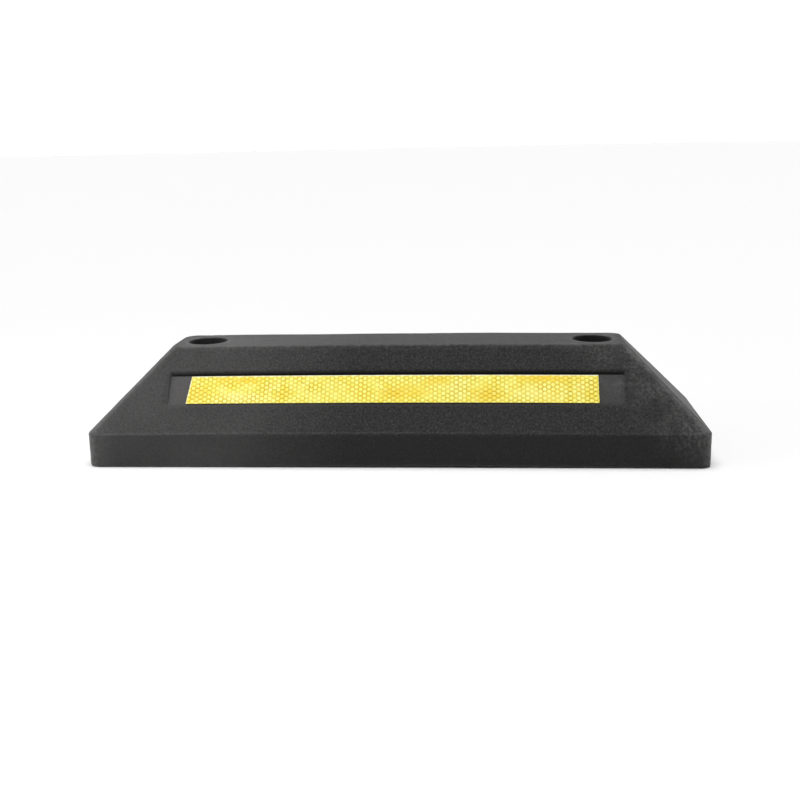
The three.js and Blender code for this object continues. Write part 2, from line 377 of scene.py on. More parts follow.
def press_recess(rings):
    """Moves the slopes' vertices in to the floors and steps of the two recesses."""
    inward = Vector((0, math.sin(SLOPE_ANGLE), -math.cos(SLOPE_ANGLE)))
    for points in rings:
        for point in points:
            on_slope = BAND_HEIGHT + 3 * MM < point.z < HEIGHT - 3 * MM
            if on_slope and abs(point.x) < RECESS_HALF_LENGTH:
                depth = recess_depth(point)
                point.y += depth * inward.y * -math.copysign(1, point.y)
                point.z += depth * inward.z


def sway(point):
    """The slow unevenness of moulded rubber."""
    broad = noise.noise(point * 14) * 0.35 * MM
    fine = noise.noise(point * 70 + Vector((7, 3, 1))) * 0.08 * MM
    return broad + fine


def bow_at(x):
    """How much the moulding's bow lifts it at a place along it."""
    return BOW * (1 - (x / HALF_LENGTH) ** 2)


def bow(mesh):
    for vert in mesh.vertices:
        vert.co.z += bow_at(vert.co.x)


def freedom(point):
    """How far the rubber may sway: not at all at the foot and in the recesses under the strips."""
    low = (BAND_HEIGHT + RECESS_FOOT * math.sin(SLOPE_ANGLE) - point.z) / (4 * MM)
    high = (point.z - BAND_HEIGHT - RECESS_HEAD * math.sin(SLOPE_ANGLE)) / (4 * MM)
    end = (abs(point.x) - RECESS_HALF_LENGTH) / (5 * MM)
    clear = min(max(low, high, end, 0), 1)
    return min(clear, max(point.z - FOOT_EDGE, 0) / BAND_HEIGHT)


def block_shell():
    """The block before its holes and pockets are cut."""
    bm = bmesh.new()
    rings = block_rings()
    press_recess(rings)
    rows = add_rings(bm, rings)
    bm.faces.new(reversed(rows[0]))
    bm.faces.new(rows[-1])
    bmesh.ops.recalc_face_normals(bm, faces=bm.faces)
    bm.normal_update()
    for vert in bm.verts:
        vert.co += vert.normal * sway(vert.co) * freedom(vert.co)
    return new_object("rubber_block", bm)


def hole_rings(x):
    """One fixing hole: bolt hole, seat with a fillet, counterbore and rounded rim."""
    outer = COUNTERBORE_RADIUS + RIM_RADIUS
    seat = SEAT_HEIGHT - bow_at(x)
    profile = [(BOLT_HOLE_RADIUS, -1 * MM), (BOLT_HOLE_RADIUS, seat)]
    for step in range(4):
        angle = step / 3 * math.pi / 2
        radius = COUNTERBORE_RADIUS - SEAT_FILLET * (1 - math.sin(angle))
        profile.append((radius, seat + SEAT_FILLET * (1 - math.cos(angle))))
    for step in range(8):
        angle = step / 7 * RIM_SWEEP
        radius = outer - RIM_RADIUS * math.cos(angle)
        profile.append((radius, HEIGHT - RIM_RADIUS * (1 - math.sin(angle))))
    profile.append((outer + 2 * MM, HEIGHT + 1.2 * MM))
    return [circle(radius, z, HOLE_STEPS, (x, 0)) for radius, z in profile]


def pocket_rings(x0, x1, side, roof):
    """One pocket under the block. It leans in with the slopes above its knee."""
    is_end = abs(x0 + x1) / 2 > HOLE_X
    rise = roof - POCKET_KNEE
    lean = rise / math.tan(SLOPE_ANGLE)
    end_lean = rise if is_end else POCKET_DRAFT
    inner = SPINE / 2
    outer = HALF_WIDTH - POCKET_WALL
    low = end_lean if is_end and x0 < 0 else POCKET_DRAFT
    high = end_lean if is_end and x0 > 0 else POCKET_DRAFT

    def at(z, grow, share):
        y0 = inner + POCKET_DRAFT * share - grow
        y1 = outer - lean * share + grow
        ys = sorted((side * y0, side * y1))
        left = x0 + low * share - grow
        right = x1 - high * share + grow
        return rounded_rectangle(left, right, *ys, POCKET_CORNER + grow, z)

    rings = [at(-1 * MM, 1.5 * POCKET_LIP, 0)]
    for step in range(4):
        angle = step / 3 * math.pi / 2
        grow = POCKET_LIP * (1 - math.sin(angle))
        rings.append(at(POCKET_LIP * (1 - math.cos(angle)), grow, 0))
    rings.append(at(POCKET_KNEE, 0, 0))
    rings.append(at(roof - POCKET_ROOF_EDGE, 0, (rise - POCKET_ROOF_EDGE) / rise))
    rings.append(at(roof - 0.3 * POCKET_ROOF_EDGE, -0.3 * POCKET_ROOF_EDGE, 1))
    rings.append(at(roof, -POCKET_ROOF_EDGE, 1))
    return rings


def block_cutter():
    """The two fixing holes and the pockets, as one solid to cut away."""
    bm = bmesh.new()
    for x in (-HOLE_X, HOLE_X):
        add_loft(bm, hole_rings(x))
    width = POCKET_PITCH - RIB
    for side in (-1, 1):
        for i in range(POCKETS_BETWEEN_HOLES):
            middle = (i - (POCKETS_BETWEEN_HOLES - 1) / 2) * POCKET_PITCH
            add_loft(bm, pocket_rings(middle - width / 2, middle + width / 2, side, POCKET_ROOF))
        start, end = END_POCKET_START, END_POCKET_START + POCKET_PITCH
        add_loft(bm, pocket_rings(start, end, side, END_POCKET_ROOF))
        add_loft(bm, pocket_rings(-end, -start, side, END_POCKET_ROOF))
    return new_object("block_cutter", bm)


SKIN = 6 * MM  # how far under a face a vertex still takes that face's wear and painted highlights
UNDERSIDE = 0.2 * MM
TOP_SKIN = 4 * MM
# Painted shade at the recess ends, in the fixing holes and on the end slopes
RECESS_END_SHADE = 0.35
HOLE_SHADE = 0.7
END_SLOPE_SHADE = 0.4


def near(distance, reach):
    """1 at no distance, fading to 0 over about the reach."""
    return math.exp(-((max(distance, 0) / reach) ** 2))


def edge_wear_and_highlight(point):
    """How worn the rubber is, with painted highlights along its edges: 1 on an exposed edge, 0 on
    an open face.
    """
    x, y, z = abs(point.x), abs(point.y), point.z
    up = max(z - BAND_HEIGHT, 0)
    side_face = HALF_WIDTH - up / math.tan(SLOPE_ANGLE)
    end_face = HALF_LENGTH - up
    corner = math.hypot(side_face - y, end_face - x) - 0.41 * CORNER_RADIUS
    top_edge = max(HEIGHT - z, min(TOP_HALF_LENGTH - x, TOP_HALF_WIDTH - y))
    rim = math.hypot(x - HOLE_X, y) - COUNTERBORE_RADIUS
    # The lighter lines along the band's top edge, down the corners and hips and round the top's
    # edge are painted highlights as well as wear. The band's line is painted stronger at the left,
    # and the rims of the fixing holes are worn.
    more_at_left = 0.75 - 0.35 * point.x / HALF_LENGTH
    on_band = near(z - BAND_HEIGHT, 6 * MM)
    along_band = more_at_left * near(abs(z - BAND_HEIGHT) - 0.2 * MM, 0.6 * MM)
    down_corner = near(corner, (1.1 + 3.6 * on_band) * MM)
    round_top = near(top_edge - 0.3 * MM, 0.8 * MM)
    round_foot = near(z - 0.5 * MM, 1.0 * MM)
    wear_and_highlight = [0.55 * along_band, down_corner, 0.8 * round_top, 0.3 * round_foot]
    if z > HEIGHT - 3 * MM:
        wear_and_highlight.append(0.8 * near(abs(rim - 1.5 * MM), 1.6 * MM))
    in_skin = y > side_face - SKIN or x > end_face - SKIN or z > HEIGHT - TOP_SKIN
    return max(wear_and_highlight) if z > UNDERSIDE and in_skin else 0


def slope_place(point):
    """How far up its long slope a point lies, and whether it is on or just under that slope."""
    up = point.z - BAND_HEIGHT
    out = abs(point.y) - HALF_WIDTH
    along = up * math.sin(SLOPE_ANGLE) - out * math.cos(SLOPE_ANGLE)
    return along, abs(point.y) > HALF_WIDTH - up / math.tan(SLOPE_ANGLE) - SKIN


def recess_share(point):
    """1 on the floor of a recess, 0 outside it."""
    along, on_slope = slope_place(point)
    up = min((along - RECESS_FOOT) / (4 * MM), (RECESS_HEAD - 4 * MM - along) / (0.5 * MM))
    across = (RECESS_HALF_LENGTH - 1 * MM - abs(point.x)) / (2 * MM)
    return min(max(min(up, across), 0), 1) if on_slope else 0


def painted_shade(point):
    """Painted shade on the rubber: under the step of each recess, at the recess's ends, in the
    fixing holes and on the end slopes.
    """
    along, on_slope = slope_place(point)
    above_foot = (along - STEP_FOOT) / (0.5 * MM) + 2
    below_head = (STEP_FOOT + 2.4 * MM - along) / (1.6 * MM)
    across = (RECESS_HALF_LENGTH - abs(point.x)) / (2.5 * MM)
    step = min(max(min(above_foot, below_head, across), 0), 1)
    at_end = 1 - abs(abs(point.x) - RECESS_HALF_LENGTH - 0.3 * MM) / (1.2 * MM)
    inside = min(along - RECESS_FOOT - 3 * MM, RECESS_HEAD - along) / (4 * MM)
    end = RECESS_END_SHADE * min(max(min(at_end, inside), 0), 1)
    in_hole = math.hypot(abs(point.x) - HOLE_X, point.y) < COUNTERBORE_RADIUS + 0.1 * MM
    hole = HOLE_SHADE if in_hole and point.z > UNDERSIDE else 0
    up = point.z - BAND_HEIGHT
    past_hip = HALF_WIDTH - up / math.tan(SLOPE_ANGLE) - abs(point.y) - 0.4 * CORNER_RADIUS
    on_end = abs(HALF_LENGTH - up - abs(point.x)) < 3 * MM and up > 3 * MM
    end_slope = END_SLOPE_SHADE * min(max(past_hip / (3 * MM), 0), 1) if on_end else 0
    return max(step, end, hole) if on_slope else max(hole, end_slope)


def paint(mesh, name, value_at):
    """Stores a value for each vertex, which the material reads."""
    layer = mesh.attributes.new(name, "FLOAT", "POINT")
    layer.data.foreach_set("value", [value_at(vert.co) for vert in mesh.vertices])


def make_block(material):
    block = block_shell()
    cut(block, block_cutter())
    paint(block.data, "wear_and_highlight", edge_wear_and_highlight)
    paint(block.data, "recess", recess_share)
    paint(block.data, "painted_shade", painted_shade)
    bow(block.data)
    block.data.materials.clear()
    block.data.materials.append(material)
    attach(block, "block")
    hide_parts("rubber_body")


# The reflective strips: sheeting whose puffed cells stand between sealed seams

STRIP_LIFT = 0.15 * MM
STRIP_TOP = 0.75 * MM
STRIP_FOOT = 3.5 * MM
STRIP_WIDTH = 26.5 * MM
STRIP_SKEW = 1.65 * MM
STRIP_TRIM = 0.8 * MM  # off its left end
CELL_HEIGHT = 4.25 * MM
CELL_RADIUS = CELL_HEIGHT / math.sqrt(3)
CELL_PUFF = 0.16 * MM
CELL_SHOULDER = 0.6  # how far up its puff a cell already stands at its seam
SEAM_SHARE = 0.7  # of a cell's radius, where its seam starts
SLANT_SEAM_SHADE = 0.25  # how much of the painted seam shade the slanting seams take
SHEET_MERGE = 0.02 * MM
SHEET_SNAP = 0.01 * MM
EDGE_WHITE = 0.8 * MM  # bare film along the cut edges, paler also as a painted highlight

# Stains in the sheeting, in mm: distance from its left end, height above its foot, half length and
# half height, then how amber it is or below 0 how bleached, and how much painted shade its seams
# take
STAINS_AND_SEAM_SHADE = (
    (9, 9, 11, 10, 0.45, 0.75),
    (46, 4, 30, 6, -0.6, 0),
    (31, 22.5, 7, 3.5, 0.75, 0.3),
    (52, 22, 12, 3.5, 0.85, 0.3),
    (74, 15, 9, 6, -0.35, 0),
    (86, 8.5, 9, 4.5, 0.5, 0.7),
    (120, 14, 24, 12, -0.15, 0),
    (136, 22, 6, 3, 0.5, 0.6),
    (184, 9, 11, 6, 0.8, 0.9),
    (202, 11, 13, 6, 0.6, 0.3),
    (222, 21, 12, 5, 0.6, 0.3),
    (242, 12, 9, 14, -0.35, 0.25),
    (267, 7, 13, 7, 0.75, 0.9),
    (312, 8, 24, 9, -0.45, 0),
    (318, 23, 21, 3.5, 1.0, 0.4),
    (338.5, 12, 3.2, 14, 0.15, 1.6),
    (348.5, 13, 5, 14, -0.3, 0.3),
    (358.3, 11, 4.2, 15, 0.15, 1.6),
)


def recess_floor(rear):
    """Turns a strip's own axes into the frame's: X along it, Y up the recess floor, Z out of it."""
    tilt = math.atan2(RECESS_DEEPEST, STEP_FOOT - RECESS_FOOT)
    turn = Matrix.Rotation(math.pi, 4, "Z") if rear else Matrix.Identity(4)
    onto_slope = Matrix.Translation((0, -HALF_WIDTH, BAND_HEIGHT))
    slope = Matrix.Rotation(SLOPE_ANGLE, 4, "X")
    start = Matrix.Translation((0, RECESS_FOOT, 0))
    return turn @ onto_slope @ slope @ start @ Matrix.Rotation(-tilt, 4, "X")


def stain_and_seam_shade(place, left):
    """How amber the sheeting is, and how much painted shade its seams take, at a place on it."""
    amber = dark = 0
    for along, up, half_length, half_height, stained, seams in STAINS_AND_SEAM_SHADE:
        across = (place.x - left - along * MM) / (half_length * MM)
        height = (place.y - up * MM) / (half_height * MM)
        share = math.exp(-((across**2 + height**2) ** 1.5))
        amber += stained * share
        dark = max(dark, seams * share)
    return amber, dark


def add_cell(bm, layers, column, row, left):
    """One puffed six-sided cell with its half of the seam round it."""
    centre = Vector((column * 1.5 * CELL_RADIUS, (row + column % 2 / 2) * CELL_HEIGHT, 0))
    amber, dark = stain_and_seam_shade(centre, left)
    tone = noise.cell(Vector((column, row, 0.5))) * 0.5 + 0.5
    outer, inner = [], []
    for i in range(6):
        way = Vector((math.cos(i * math.pi / 3), math.sin(i * math.pi / 3), 0)) * CELL_RADIUS
        outer.append(bm.verts.new(centre + way))
        lift = Vector((0, 0, CELL_PUFF * CELL_SHOULDER))
        inner.append(bm.verts.new(centre + way * SEAM_SHARE + lift))
    middle = bm.verts.new(centre + Vector((0, 0, CELL_PUFF)))
    for i in range(6):
        j = (i + 1) % 6
        top = bm.faces.new((inner[i], inner[j], middle))
        side = bm.faces.new((outer[i], outer[j], inner[j], inner[i]))
        for face in (top, side):
            face[layers["tone"]] = tone
            face[layers["amber"]] = amber
        side[layers["seam"]] = 1
        # Painted shade: full on the horizontal seams, less on the slanting ones
        side[layers["seam_shade"]] = dark if i in (1, 4) else SLANT_SEAM_SHADE * dark


def strip_sheet(left, right, skew):
    """The face of a strip: whole cells, trimmed to its outline."""
    bm = bmesh.new()
    names = ("tone", "amber", "seam", "seam_shade", "border")
    layers = {name: bm.faces.layers.float.new(name) for name in names}
    first = math.floor((left - skew) / CELL_RADIUS / 1.5) - 1
    last = math.ceil(right / CELL_RADIUS / 1.5) + 1
    for column in range(first, last + 1):
        for row in range(math.ceil(STRIP_WIDTH / CELL_HEIGHT) + 1):
            add_cell(bm, layers, column, row, left)
    bmesh.ops.remove_doubles(bm, verts=bm.verts, dist=SHEET_MERGE)
    lean = Vector((-STRIP_WIDTH, 2 * skew, 0)).normalized()
    inner_left = Vector((left, STRIP_WIDTH / 2, 0)) - lean * EDGE_WHITE
    slice_sheet(bm, inner_left, lean, False)
    slice_sheet(bm, (0, STRIP_WIDTH - EDGE_WHITE, 0), (0, 1, 0), False)
    slice_sheet(bm, (left, STRIP_WIDTH / 2, 0), lean, True)
    slice_sheet(bm, (right, 0, 0), (1, 0, 0), True)
    slice_sheet(bm, (0, SHEET_SNAP, 0), (0, -1, 0), True)
    slice_sheet(bm, (0, STRIP_WIDTH, 0), (0, 1, 0), True)
    # The bare film along the top and left cut edges: its own pale colour, with a painted highlight
    for face in bm.faces:
        middle = face.calc_center_median()
        at_top = middle.y > STRIP_WIDTH - EDGE_WHITE
        if at_top or (middle - inner_left).dot(lean) > 0:
            face[layers["border"]] = 1
    return bm


def slice_sheet(bm, place, way, trim):
    """Cuts a sheet along a plane, and with trim drops what lies beyond it."""
    geometry = bm.verts[:] + bm.edges[:] + bm.faces[:]
    bmesh.ops.bisect_plane(
        bm, geom=geometry, plane_co=place, plane_no=way, clear_outer=trim, dist=SHEET_SNAP
    )


def thicken(bm, depth):
    """Closes a sheet into a slab. Its new sides and back have a border of -1."""
    loops = [edge.link_loops[0] for edge in bm.edges if edge.is_boundary]
    after = {loop.vert: loop.link_loop_next.vert for loop in loops}
    rim = [loops[0].vert]
    while after[rim[-1]] != rim[0]:
        rim.append(after[rim[-1]])
    low = [bm.verts.new((vert.co.x, vert.co.y, -depth)) for vert in rim]
    made = [bm.faces.new(reversed(low))]
    for i in range(len(rim)):
        j = (i + 1) % len(rim)
        made.append(bm.faces.new((rim[j], rim[i], low[i], low[j])))
    for face in made:
        face[bm.faces.layers.float["border"]] = -1


def make_strip(name, node, rear, material):
    low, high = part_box(node)
    skew = 0 if rear else STRIP_SKEW
    trim = 0 if rear else STRIP_TRIM
    bm = strip_sheet(low.x + trim + skew, high.x, skew)
    thicken(bm, STRIP_TOP - STRIP_LIFT)
    bm.transform(recess_floor(rear) @ Matrix.Translation((0, STRIP_FOOT, STRIP_TOP)))
    strip = new_object(name, bm)
    bow(strip.data)
    strip.data.materials.append(material)
    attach(strip, "block")
    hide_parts(node)


# The sleeve anchors: their heights, and the washers' radii, come from the CAD model

ANCHOR_STEPS = 48
NUT_STEPS = 72
WASHER_STEPS = 96
SPRING_STEPS = 72
STUD_RADIUS = 5 * MM
STUD_END_RADIUS = 4 * MM
CONE_LAND = 2 * MM
CONE_LENGTH = 10 * MM
CONE_RADIUS = 6.7 * MM
CONE_CHAMFER = 0.5 * MM
THREAD_PITCH = 1.5 * MM
THREAD_DEPTH = 0.85 * MM
THREAD_LENGTH = 28 * MM
THREAD_MERGE = 0.002 * MM
THREAD_SLIVER = 0.01 * MM
# One turn of the thread: share of the pitch, share of the depth
THREAD_PROFILE = ((0, 1), (0.18, 1), (0.5, 0), (0.68, 0))
NUT_FLAT = 8.5 * MM
NUT_FACE = 8.1 * MM
NUT_BORE = 5.2 * MM
NUT_COUNTERSINK = 0.6 * MM
NUT_SHARP_ABOVE = math.radians(20)
CHAMFER_DROPS = (0, 0.25, 0.5, 0.75, 1)  # mm below the nut's face
WASHER_BORE = 5.4 * MM
WASHER_EDGE = 0.4 * MM
SPRING_BORE = 5.3 * MM
SPRING_EDGE = 0.25 * MM
SPRING_SPLIT = 1.1 * MM  # half its width
SPRING_SPRUNG = 0.15 * MM


def add_thread(bm, x, low, high):
    """A right-handed thread that runs out into the shank at its foot and has a chamfered top."""
    turns = math.ceil((high - low) / THREAD_PITCH) + 1
    columns = []
    for i in range(ANCHOR_STEPS + 1):
        angle = 2 * math.pi * i / ANCHOR_STEPS
        column = []
        for turn in range(-1, turns):
            for share, depth in THREAD_PROFILE:
                z = low + (turn + share + i / ANCHOR_STEPS) * THREAD_PITCH
                runout = min(max((z - low) / THREAD_PITCH, 0), 1)
                z = min(max(z, low), high)
                radius = STUD_RADIUS - THREAD_DEPTH * depth * runout
                radius = min(radius, STUD_END_RADIUS + high - z)
                y = radius * math.sin(angle)
                column.append(Vector((x + radius * math.cos(angle), y, z)))
        columns.append(column)
    for here, there in zip(columns, columns[1:]):
        for j in range(len(here) - 1):
            corners = [here[j], there[j], there[j + 1], here[j + 1]]
            heights = [point.z for point in corners]
            if max(heights) - min(heights) > THREAD_SLIVER:
                bm.faces.new([bm.verts.new(point) for point in corners])


def measure(node):
    """A piece's lowest and highest corner in the CAD model, and where its axis stands along X."""
    low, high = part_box(node)
    return low, high, (low.x + high.x) / 2


def make_stud(side, node, material):
    low, high, x = measure(node)
    land = low.z + CONE_LAND
    thread_foot = high.z - THREAD_LENGTH
    profile = (
        (CONE_RADIUS - CONE_CHAMFER, low.z),
        (CONE_RADIUS, low.z + CONE_CHAMFER),
        (CONE_RADIUS, land),
        (STUD_RADIUS, land + CONE_LENGTH),
        (STUD_RADIUS, thread_foot),
    )
    bm = bmesh.new()
    rings = [circle(radius, z, ANCHOR_STEPS, (x, 0)) for radius, z in profile]
    rows = add_rings(bm, rings)
    bm.faces.new(reversed(rows[0]))
    add_thread(bm, x, thread_foot, high.z)
    bmesh.ops.remove_doubles(bm, verts=bm.verts, dist=THREAD_MERGE)
    bmesh.ops.dissolve_degenerate(bm, edges=bm.edges, dist=THREAD_MERGE)
    rim = [edge for edge in bm.edges if edge.is_boundary]
    bmesh.ops.contextual_create(bm, geom=rim)
    place_hardware(new_object(node + "_detail", bm), side + "_stud", node, material)


def hexagon(z, limit, x):
    """A hexagon whose corners are cut back to a circle."""
    points = []
    for i in range(NUT_STEPS):
        angle = 2 * math.pi * i / NUT_STEPS
        off_flat = (angle + math.pi / 6) % (math.pi / 3) - math.pi / 6
        radius = min(NUT_FLAT / math.cos(off_flat), limit)
        points.append(Vector((x + radius * math.cos(angle), radius * math.sin(angle), z)))
    return points


def make_nut(side, node, material):
    low, high, x = measure(node)
    sunk = NUT_BORE + NUT_COUNTERSINK
    chamfer = [(drop * MM, NUT_FACE + drop * MM * math.sqrt(3)) for drop in CHAMFER_DROPS]
    rings = [circle(sunk, low.z, NUT_STEPS, (x, 0))]
    rings += [hexagon(low.z + drop, limit, x) for drop, limit in chamfer]
    rings += [hexagon(high.z - drop, limit, x) for drop, limit in reversed(chamfer)]
    rings.append(circle(sunk, high.z, NUT_STEPS, (x, 0)))
    rings.append(circle(NUT_BORE, high.z - NUT_COUNTERSINK, NUT_STEPS, (x, 0)))
    rings.append(circle(NUT_BORE, low.z + NUT_COUNTERSINK, NUT_STEPS, (x, 0)))
    bm = bmesh.new()
    add_rings(bm, rings, close=True)
    nut = new_object(node + "_detail", bm, NUT_SHARP_ABOVE)
    place_hardware(nut, side + "_nut", node, material)


def washer_section(bore, radius, low, high, edge):
    """A washer's section on one side of its axis, with softened edges: radius and height."""
    section = []
    corners = ((radius, low, -90), (radius, high, 0), (bore, high, 90), (bore, low, 180))
    for r, z, turn in corners:
        centre_r = r + math.copysign(edge, bore + radius - 2 * r)
        centre_z = z + math.copysign(edge, low + high - 2 * z)
        for step in range(4):
            angle = math.radians(turn + 30 * step)
            on_arc = (centre_r + edge * math.cos(angle), centre_z + edge * math.sin(angle))
            section.append(on_arc)
    return section


def make_flat_washer(side, node, material):
    low, high, x = measure(node)
    section = washer_section(WASHER_BORE, high.x - x, low.z, high.z, WASHER_EDGE)
    rings = [circle(radius, z, WASHER_STEPS, (x, 0)) for radius, z in section]
    bm = bmesh.new()
    add_rings(bm, rings, close=True)
    place_hardware(new_object(node + "_detail", bm), side + "_anchor", node, material)


def make_spring_washer(side, node, material):
    low, high, x = measure(node)
    radius = (high.y - low.y) / 2
    section = washer_section(SPRING_BORE, radius, low.z, high.z, SPRING_EDGE)
    gap = math.asin(SPRING_SPLIT / radius)
    rings = []
    for step in range(SPRING_STEPS + 1):
        share = step / SPRING_STEPS
        angle = gap + (2 * math.pi - 2 * gap) * share
        way = Vector((math.cos(angle), math.sin(angle), 0))
        lift = SPRING_SPRUNG * (1 - 2 * share)
        rings.append([Vector((x, 0, z + lift)) + way * r for r, z in section])
    bm = bmesh.new()
    add_loft(bm, rings)
    place_hardware(new_object(node + "_detail", bm), side + "_anchor", node, material)


def place_hardware(piece, body, node, material):
    """Gives a piece of an anchor its body and its material, and hides the CAD node it stands for.
    """
    piece.data.materials.append(material)
    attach(piece, body)
    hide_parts(node)


def make_anchor(side, material):
    make_stud(side, side + "_anchor_stud", material)
    make_nut(side, side + "_hex_nut", material)
    make_flat_washer(side, side + "_flat_washer", material)
    make_spring_washer(side, side + "_spring_washer", material)
    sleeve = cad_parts[side + "_expansion_sleeve"]
    sleeve.data.materials.clear()
    sleeve.data.materials.append(material)


# Materials

RUBBER_BLACK = (0.0125, 0.0122, 0.0122, 1)
RUBBER_GREY = (0.0345, 0.0338, 0.0335, 1)
RUBBER_PALE = (0.095, 0.0925, 0.0915, 1)
# The black of the painted shade
SHADE_BLACK = (0.003, 0.003, 0.003, 1)
CELL_YELLOW = (0.82, 0.73, 0.1, 1)
CELL_LIGHT = (0.84, 0.84, 0.22, 1)
CELL_BLEACHED = (0.88, 0.88, 0.38, 1)
SEAM_OCHRE = (0.64, 0.46, 0.004, 1)
FLECK_BROWN = (0.42, 0.29, 0.0, 1)
STAIN_AMBER = (0.83, 0.54, 0.006, 1)
STAIN_FAINT = (0.82, 0.6, 0.02, 1)
SEAM_SHADE_BROWN = (0.5, 0.32, 0.0, 1)
FILM_CREAM_AND_HIGHLIGHT = (0.88, 0.87, 0.66, 1)
BACKING_BROWN = (0.05, 0.03, 0.02, 1)
ZINC_DULL = (0.47, 0.48, 0.5, 1)
ZINC_BRIGHT = (0.6, 0.6, 0.59, 1)

def new_material(name):
    material = bpy.data.materials.new(name)
    material.use_nodes = True
    return material, material.node_tree, material.node_tree.nodes["Principled BSDF"]


def fill(tree, node, inputs):
    """Links or sets a node's inputs, by name or index."""
    for name, value in inputs.items():
        if isinstance(value, bpy.types.NodeSocket):
            tree.links.new(value, node.inputs[name])
        else:
            node.inputs[name].default_value = value


def object_place(tree):
    return tree.nodes.new("ShaderNodeTexCoord").outputs["Object"]


def add_noise(tree, size, detail=3, roughness=0.55, seed=0, stretched=(1, 1, 1)):
    """Noise whose features measure about size metres. Its output runs from 0 to 1 about 0.5."""
    shifted = tree.nodes.new("ShaderNodeMapping")
    fill(tree, shifted, {"Vector": object_place(tree), "Scale": stretched})
    fill(tree, shifted, {"Location": (seed, 2.3 * seed, 1.7 * seed)})
    made = tree.nodes.new("ShaderNodeTexNoise")
    fill(tree, made, {"Vector": shifted.outputs[0], "Scale": 1 / size, "Detail": detail})
    fill(tree, made, {"Roughness": roughness})
    return made.outputs["Fac"]


def stretch(tree, value, low, high, to_low=0.0, to_high=1.0):
    """Maps low..high to to_low..to_high, and holds the ends."""
    made = tree.nodes.new("ShaderNodeMapRange")
    fill(tree, made, {0: value, 1: low, 2: high, 3: to_low, 4: to_high})
    return made.outputs[0]


def calculate(tree, operation, a, b):
    made = tree.nodes.new("ShaderNodeMath")
    made.operation = operation
    fill(tree, made, {0: a, 1: b})
    return made.outputs[0]


def mix(tree, share, a, b):
    """Colour a, turning to colour b as the share goes from 0 to 1."""
    made = tree.nodes.new("ShaderNodeMix")
    made.data_type = "RGBA"
    fill(tree, made, {0: share, 6: a, 7: b})
    return made.outputs[2]


def attribute(tree, name):
    made = tree.nodes.new("ShaderNodeAttribute")
    made.attribute_name = name
    return made.outputs["Fac"]


def bump(tree, height, distance, strength=1.0, under=None):
    made = tree.nodes.new("ShaderNodeBump")
    fill(tree, made, {"Height": height, "Distance": distance, "Strength": strength})
    if under is not None:
        fill(tree, made, {"Normal": under})
    return made.outputs["Normal"]


def axis(tree, name):
    split = tree.nodes.new("ShaderNodeSeparateXYZ")
    fill(tree, split, {0: object_place(tree)})
    return split.outputs[name]


def multiply(tree, *values):
    product = values[0]
    for value in values[1:]:
        product = calculate(tree, "MULTIPLY", product, value)
    return product


def dust_wear_and_painted_light(tree):
    """Paleness over the black: a painted sheen haze at the left, paler at the left end, dust scuffs
    at the right, a dust film on top, worn edges with painted highlights, and recess floors painted
    paler as painted light.
    """
    x, z = axis(tree, "X"), axis(tree, "Z")
    # Painted sheen: a haze, paler towards the left and rising up the block, broken up by broad
    # noise
    cloud = stretch(tree, add_noise(tree, 60 * MM, 2, 0.5, 4), 0.3, 0.7, 0.75, 1.15)
    rising = stretch(tree, z, 25 * MM, 100 * MM, 0.34, 0.46)
    painted_sheen_haze = multiply(tree, stretch(tree, x, -160 * MM, -40 * MM, 1, 0), cloud, rising)
    end = stretch(tree, x, -272 * MM, -245 * MM, 0.16, 0)
    streaks = add_noise(tree, 2.2 * MM, 3, 0.7, 5, (0.8, 1.0, 0.6))
    streak = stretch(tree, streaks, 0.42, 0.66, 0.15, 1)
    patch = stretch(tree, add_noise(tree, 22 * MM, 2, 0.5, 6), 0.36, 0.56)
    to_hip = stretch(tree, calculate(tree, "ADD", x, z), 240 * MM, 296 * MM)
    side = calculate(tree, "ABSOLUTE", axis(tree, "Y"), 0)
    face = calculate(tree, "MULTIPLY_ADD", z, -1 / math.tan(SLOPE_ANGLE))
    fill(tree, face.node, {2: HALF_WIDTH + BAND_HEIGHT / math.tan(SLOPE_ANGLE)})
    near_hip = stretch(tree, calculate(tree, "SUBTRACT", face, side), 4 * MM, 20 * MM, 1, 0.25)
    scuffs = multiply(tree, to_hip, streak, patch, near_hip, 0.8)
    on_top = stretch(tree, z, 97 * MM, 99 * MM)
    film = stretch(tree, add_noise(tree, 4.5 * MM, 3, 0.6, 9), 0.38, 0.66, -0.05, 0.25)
    film = multiply(tree, on_top, film)
    rub = stretch(tree, add_noise(tree, 5 * MM, 4, 0.7, 7), 0.3, 0.6)
    # Worn edges, with painted highlights along them
    worn_and_highlit = multiply(tree, attribute(tree, "wear_and_highlight"), rub, 0.75)
    # The recess floors are painted paler: painted light on floors that face further up than the
    # slope
    recess = multiply(tree, attribute(tree, "recess"), 0.37)
    total = painted_sheen_haze
    for more in (end, scuffs, film, worn_and_highlit, recess):
        total = calculate(tree, "ADD", total, more)
    return total


